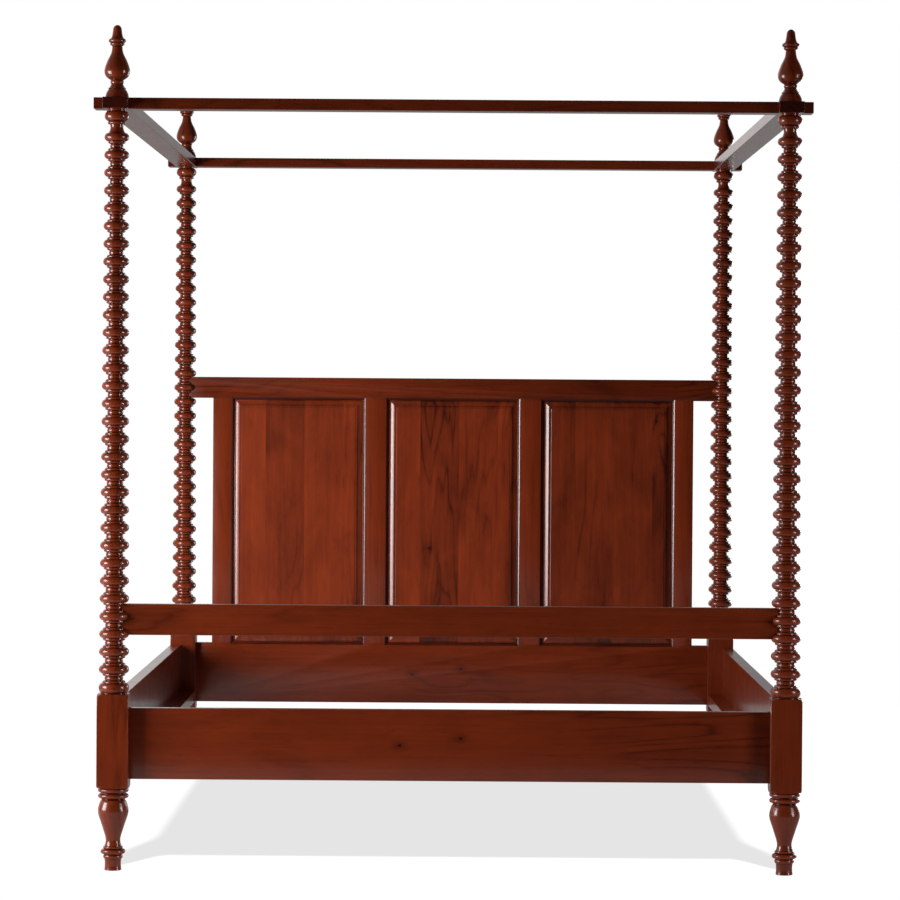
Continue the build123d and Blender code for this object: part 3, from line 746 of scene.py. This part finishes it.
def finial_outline():
    """Base, neck, vase, cap and tip."""
    return outline(
        (0, FINIAL_FOOT), (26.2, FINIAL_FOOT), (26.8, FINIAL_FOOT + 0.6),
        ((24.4, 1778.5), (19, 1787), 9), (21, 1788.2), ((16.4, 1792.6), (13.8, 1798.5), 7),
        ((15.4, 1803), (14.2, 1807), 8),
        [(25.6, 1816), (29.2, 1830), (22.9, 1850.5), (14, 1869), (11.5, 1884.6)],
        (13.4, 1886.2), ((16.5, 1889.6), (15.4, 1892.8), 6), ((20, 1897.4), (15.6, 1902), 10),
        ((12.4, 1907.5), (11.4, 1912), 5), ((10.6, 1917), (9.9, 1922.5), 4),
        ((7.9, 1929), (3, FINIAL_TIP), 7), (0, FINIAL_TIP))


def axis_of(node):
    """The upright axis of a turned node."""
    low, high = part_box(node)
    return (low.x + high.x) / 2, (low.y + high.y) / 2


class BED_OT_turn_posts(bpy.types.Operator):
    """Turn the four spool posts with their feet and square blocks"""

    bl_idname = "bed.turn_posts"
    bl_label = "Turn posts"

    def execute(self, context):
        segments = context.scene.bed_shape.ring_segments
        profile = [(0, 0), *foot_outline(), *block_outline(), *spool_outline(),
                   *crown_outline()]
        for end in ENDS:
            for side in SIDES:
                node = f"post_{end}_{side}"
                mesh = turned_mesh(node + "_turned", profile, axis_of(node), segments,
                                   (BLOCK_BOTTOM, BLOCK_TOP))
                finish_piece(node + "_turned", mesh, finish("turned_cherry"),
                             [node])
        return {"FINISHED"}


class BED_OT_turn_finials(bpy.types.Operator):
    """Turn the four vase finials and finish the pins glued into them"""

    bl_idname = "bed.turn_finials"
    bl_label = "Turn finials"

    def execute(self, context):
        segments = context.scene.bed_shape.ring_segments
        for end in ENDS:
            for side in SIDES:
                node = f"finial_{end}_{side}"
                mesh = turned_mesh(node + "_turned", finial_outline(), axis_of(node), segments)
                finish_piece(node + "_turned", mesh, finish("turned_cherry"),
                             [node], body=node + "_body")
                coat(f"finial_pin_{end}_{side}", "pin_birch")
        return {"FINISHED"}


# --------------------------------------------------------------------------
# Joined pieces
# --------------------------------------------------------------------------

def between_blocks(node):
    """A tenoned rail's box, cut back to just inside the blocks."""
    low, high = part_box(node)
    reach = axis_of("post_front_right")[0] - (BLOCK_HALF - BOARD_EMBED) * MM
    return Vector((-reach, low.y, low.z)), Vector((reach, high.y, high.z))


def openings():
    """(left, right, bottom, top) of each panel's opening between stiles and rails."""
    found = {}
    for name in ("left", "middle", "right"):
        low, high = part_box(f"headboard_panel_{name}")
        t = PANEL_TONGUE * MM
        found[name] = (low.x + t, high.x - t, low.z + t, high.z - t)
    return found


class BED_OT_foot_rails(bpy.types.Operator):
    """Make the wide lower rail and the narrow upper rail at the foot"""

    bl_idname = "bed.foot_rails"
    bl_label = "Foot rails"

    def execute(self, context):
        arris = context.scene.bed_shape.arris
        for level, (low, high) in (("lower", between_blocks("foot_rail_lower")),
                                   ("upper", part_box("foot_rail_upper"))):
            node = "foot_rail_" + level
            mesh = board_mesh(node + "_board", low, high, arris)
            finish_piece(node + "_board", mesh, finish(level + "_rail_cherry"),
                         [node], crease=60)
        return {"FINISHED"}


class BED_OT_headboard_frame(bpy.types.Operator):
    """Make the headboard's rails and stiles, with the moulding run on their inner edges"""

    bl_idname = "bed.headboard_frame"
    bl_label = "Headboard frame"

    def execute(self, context):
        width = context.scene.bed_shape.sticking_width
        section = sticking_section(width)
        spaces = openings()
        rails = (("head_rail_lower", between_blocks("head_rail_lower"), "bottom", "lower"),
                 ("headboard_top_rail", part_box("headboard_top_rail"), "top", "top"))
        for node, (low, high), edge, lot in rails:
            face = self.rail_face(low, high, edge, spaces, width / 2)
            mesh = moulded_mesh(node + "_moulded", low, high, face,
                                [(space, edge) for space in spaces.values()], section)
            finish_piece(node + "_moulded", mesh, finish(lot + "_rail_cherry"),
                         [node], crease=50)
        stiles = {
            "outer_left": [("left", "left")],
            "inner_left": [("left", "right"), ("middle", "left")],
            "inner_right": [("middle", "right"), ("right", "left")],
            "outer_right": [("right", "right")],
        }
        _, _, bottom, top = spaces["middle"]
        for name, runs in stiles.items():
            node = f"headboard_stile_{name}"
            low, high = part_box(node)
            edges = [edge for _, edge in runs]
            first = low.x + (width / 2 if "right" in edges else 0)
            last = high.x - (width / 2 if "left" in edges else 0)
            face = [(first, bottom), (last, bottom), (last, top), (first, top)]
            mesh = moulded_mesh(node + "_moulded", (low.x, low.y, bottom), (high.x, high.y, top),
                                face, [(spaces[space], edge) for space, edge in runs], section)
            finish_piece(node + "_moulded", mesh, finish("stile_cherry"), [node],
                         crease=50)
        return {"FINISHED"}

    def rail_face(self, low, high, edge, spaces, depth):
        """Outline of a rail's face, cut back beside each opening for the moulding."""
        inner, outer, cut = high.z, low.z, -depth
        if edge == "top":
            inner, outer, cut = low.z, high.z, depth
        points = [(low.x, inner)]
        for left, right, _, _ in spaces.values():
            points += [(left - depth, inner), (left - depth, inner + cut),
                       (right + depth, inner + cut), (right + depth, inner)]
        return [*points, (high.x, inner), (high.x, outer), (low.x, outer)]


class BED_OT_headboard_panels(bpy.types.Operator):
    """Make the three raised panels with their coved bevels"""

    bl_idname = "bed.headboard_panels"
    bl_label = "Headboard panels"

    def execute(self, context):
        shape = context.scene.bed_shape
        for name in ("left", "middle", "right"):
            node = f"headboard_panel_{name}"
            low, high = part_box(node)
            mesh = self.raised(node + "_raised", low, high, shape)
            finish_piece(node + "_raised", mesh, finish("panel_cherry_" + name),
                         [node], crease=28)
        return {"FINISHED"}

    def raised(self, name, low, high, shape):
        """One panel: flat tongue, cove, shallow step and flat field."""
        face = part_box("headboard_top_rail")[0].y / MM
        field = low.y / MM - face
        start = shape.sticking_width / MM / 2 + 0.9
        wide = shape.bevel_width / MM
        foot = (start, TONGUE_FACE - 0.3)
        top = (start + wide, field + 1.9)
        cove = arc(foot, (start + 0.5 * wide, (foot[1] + top[1]) / 2 + 0.55), top, 8)
        edge = start + wide + FIELD_STEP
        # the third number of each point is its painted shade: darkest in the corners at the foot of
        # the cove and in the steps before the field
        section = [(-PANEL_TONGUE, TONGUE_FACE, 0), (start - 3.4, TONGUE_FACE, 1),
                   (start - 0.5, TONGUE_FACE, 1), (*foot, 1),
                   *((*point, mark) for point, mark in zip(cove, [0.7, 0.4] + [0.2] * 6)),
                   (top[0] + 0.4, field + 1.0, 1), (top[0] + 1.2, field + 0.9, 0.8),
                   (edge - 0.6, field + 0.7, 0.2), (edge, field + 0.3, 0.8),
                   (edge + 0.5, field, 0.2), (start + wide + FIELD_MARGIN, field, 0)]
        rings = [(0, high.y, 0)]
        rings += [((PANEL_TONGUE + inward) * MM, (face + back) * MM, mark)
                  for inward, back, mark in section]
        verts, faces, marks = [], [], []
        for inset, y, mark in rings:
            base = len(verts)
            if base:
                faces += [(base - 4 + k, base - 4 + (k + 1) % 4, base + (k + 1) % 4, base + k)
                          for k in range(4)]
            verts += [(low.x + inset, y, low.z + inset), (high.x - inset, y, low.z + inset),
                      (high.x - inset, y, high.z - inset), (low.x + inset, y, high.z - inset)]
            marks += [mark] * 4
        faces += [(0, 3, 2, 1), (base, base + 1, base + 2, base + 3)]
        return shade_marked_mesh(name, verts, faces, marks)


class BED_OT_side_rails(bpy.types.Operator):
    """Finish the two side rails and the slat ledgers along them"""

    bl_idname = "bed.side_rails"
    bl_label = "Side rails and ledgers"

    def execute(self, context):
        for side in SIDES:
            coat(f"side_rail_{side}", "long_rail_cherry")
            coat(f"slat_ledger_{side}", "long_rail_cherry")
        return {"FINISHED"}


class BED_OT_tester(bpy.types.Operator):
    """Finish the four halved rails of the tester"""

    bl_idname = "bed.tester"
    bl_label = "Tester"

    def execute(self, context):
        for end in ENDS:
            coat(f"tester_rail_{end}", "tester_cherry")
        for side in SIDES:
            coat(f"tester_rail_{side}", "tester_side_cherry")
        return {"FINISHED"}


class BED_OT_fittings(bpy.types.Operator):
    """Finish the hook plates, catches, cross pins and screws"""

    bl_idname = "bed.fittings"
    bl_label = "Bed rail fittings"

    def execute(self, context):
        for end in ENDS:
            for side in SIDES:
                coat(f"rail_hooks_{end}_{side}", "fitting_steel")
                coat(f"post_catch_{end}_{side}", "fitting_steel")
        coat("hook_pins", "fitting_steel")
        coat("catch_screws", "screw_steel")
        coat("ledger_screws", "screw_steel")
        return {"FINISHED"}


# --------------------------------------------------------------------------
# Stage
# --------------------------------------------------------------------------

def soft_box(name, radiance, size, place, aim, spread):
    """A rectangular soft light that faces a point and is never seen itself."""
    data = bpy.data.lights.new(name, "AREA")
    data.shape = "RECTANGLE"
    data.size, data.size_y = size
    data.energy = radiance * math.pi * size[0] * size[1]
    data.spread = math.radians(spread)
    lamp = bpy.data.objects.new(name, data)
    lamp.location = place
    lamp.rotation_euler = (Vector(place) - Vector(aim)).to_track_quat("Z", "Y").to_euler()
    lamp.visible_camera = False
    bpy.context.scene.collection.objects.link(lamp)


class BED_OT_stage(bpy.types.Operator):
    """Lay the floor, light the studio and set the camera"""

    bl_idname = "bed.stage"
    bl_label = "Stage"

    def execute(self, context):
        stage = context.scene.bed_stage
        self.floor(stage)
        for name, (size, place, aim, spread) in SOFT_BOXES.items():
            radiance = getattr(stage, name + "_radiance")
            soft_box(name, radiance, size, place, aim, spread)
        self.surroundings(context)
        self.camera(context, stage)
        context.scene.view_settings.view_transform = "Standard"
        return {"FINISHED"}

    def floor(self, stage):
        """A pale floor, cut straight in front, with a flat patch of shade under the bed."""
        shape = bmesh.new()
        bmesh.ops.create_circle(shape, cap_ends=True, segments=96, radius=FLOOR_RADIUS)
        bmesh.ops.bisect_plane(shape, geom=[*shape.verts, *shape.edges, *shape.faces],
                               plane_co=(0, FLOOR_FRONT, 0), plane_no=(0, -1, 0),
                               clear_outer=True)
        mesh = bpy.data.meshes.new("floor")
        shape.to_mesh(mesh)
        shape.free()
        bench = NodeBench(bpy.data.materials.new("studio_floor"))
        x, y, _ = bench.axes("Object")
        aside = bench.sum("ABSOLUTE", x)
        flare = bench.ramp(y, SHADE_FLARE, SHADE_FRONT, 0.0, SHADE_SPREAD)
        reach = bench.ramp(aside, SHADE_HALF_WIDTH - SHADE_SPREAD,
                           SHADE_HALF_WIDTH + SHADE_SPREAD, 0.0, SHADE_TAIL)
        across = bench.sum("SUBTRACT", bench.sum("SUBTRACT", aside, flare), SHADE_HALF_WIDTH)
        front = bench.sum("SUBTRACT", bench.sum("SUBTRACT", SHADE_FRONT, y), reach)
        back = bench.sum("SUBTRACT", y, SHADE_BACK)
        outside = bench.sum("MAXIMUM", across, bench.sum("MAXIMUM", front, back))
        level = bench.ramp(outside, -SHADE_EDGE, SHADE_EDGE, stage.shade, 1.0)
        black = (0, 0, 0, 1)
        pale = bench.blend(level, black, (*stage.floor_colour, 1))
        seen = bench.add("LightPath").outputs["Is Camera Ray"]
        bench.surface(Base_Color=bench.blend(seen, pale, black), Roughness=0.9,
                      Specular_IOR_Level=0.0, Emission_Color=pale,
                      Emission_Strength=bench.ramp(seen, 0, 1, stage.floor_return,
                                                   stage.floor_glow))
        mesh.materials.append(bench.owner)
        floor = bpy.data.objects.new("floor", mesh)
        bpy.context.scene.collection.objects.link(floor)

    def surroundings(self, context):
        """A white sweep behind the bed, brighter at the left, and a dim room in front."""
        bench = NodeBench(bpy.data.worlds.new("studio"))
        x, y, z = bench.axes("Generated")
        above = bench.ramp(z, -0.02, 0.04)
        behind = bench.ramp(y, 0.30, 0.90)
        left = bench.ramp(x, 0.12, -0.20)
        sweep = bench.sum("MULTIPLY_ADD", bench.sum("MULTIPLY", above, left), 0.60, 0.25)
        glow = bench.sum("MULTIPLY", behind, sweep)
        glow = bench.sum("MULTIPLY_ADD", bench.ramp(x, -0.30, -0.95), 0.22, glow)
        glow = bench.sum("MULTIPLY_ADD", glow, 1.05, 0.015)
        seen = bench.add("LightPath").outputs["Is Camera Ray"]
        background = bench.tree.nodes["Background"]
        background.inputs["Color"].default_value = (1, 1, 1, 1)
        bench.feed(background.inputs["Strength"], bench.sum("MAXIMUM", glow, seen))
        context.scene.world = bench.owner

    def camera(self, context, stage):
        """A long lens, level with the foot's upper rail."""
        yaw, pitch, roll = stage.camera_yaw, stage.camera_pitch, stage.camera_roll
        ahead = Vector((math.sin(yaw) * math.cos(pitch), math.cos(yaw) * math.cos(pitch),
                        -math.sin(pitch)))
        level = Vector((math.cos(yaw), -math.sin(yaw), 0))
        down = ahead.cross(level)
        right = level * math.cos(roll) + down * math.sin(roll)
        below = down * math.cos(roll) - level * math.sin(roll)
        data = bpy.data.cameras.new("camera")
        data.lens = stage.camera_lens
        data.sensor_width = 36
        data.clip_end = 400
        camera = bpy.data.objects.new("camera", data)
        turn = Matrix((right, -below, -ahead)).transposed().to_4x4()
        camera.matrix_world = Matrix.Translation(stage.camera_place) @ turn
        context.scene.collection.objects.link(camera)
        context.scene.camera = camera


class BED_PT_sidebar(bpy.types.Panel):
    """Lists the bed's settings and its building steps"""

    bl_idname = "BED_PT_sidebar"
    bl_label = "Four poster bed"
    bl_space_type = "VIEW_3D"
    bl_region_type = "UI"
    bl_category = "Four Poster"

    def draw(self, context):
        for group in ("bed_shape", "bed_finish", "bed_stage"):
            settings = getattr(context.scene, group)
            box = self.layout.box()
            for key in settings.__annotations__:
                box.prop(settings, key)
        for step in STEPS:
            self.layout.operator(step.bl_idname)


GROUPS = {"bed_shape": BedShapeSettings, "bed_finish": BedFinishSettings,
          "bed_stage": BedStageSettings}
STEPS = (BED_OT_turn_posts, BED_OT_turn_finials, BED_OT_foot_rails, BED_OT_headboard_frame,
         BED_OT_headboard_panels, BED_OT_side_rails, BED_OT_tester, BED_OT_fittings, BED_OT_stage)
CLASSES = (*GROUPS.values(), *STEPS, BED_PT_sidebar)


def register():
    """Register the classes and hang the settings on the scene."""
    for cls in CLASSES:
        bpy.utils.register_class(cls)
    for name, cls in GROUPS.items():
        setattr(bpy.types.Scene, name, bpy.props.PointerProperty(type=cls))


def unregister():
    """Take the settings off the scene and unregister the classes."""
    for name in GROUPS:
        delattr(bpy.types.Scene, name)
    for cls in reversed(CLASSES):
        bpy.utils.unregister_class(cls)


def main():
    """Build the bed and its studio."""
    register()
    bpy.ops.bed.turn_posts()
    bpy.ops.bed.turn_finials()
    bpy.ops.bed.foot_rails()
    bpy.ops.bed.headboard_frame()
    bpy.ops.bed.headboard_panels()
    bpy.ops.bed.side_rails()
    bpy.ops.bed.tester()
    bpy.ops.bed.fittings()
    bpy.ops.bed.stage()


if __name__ == "__main__":
    main()
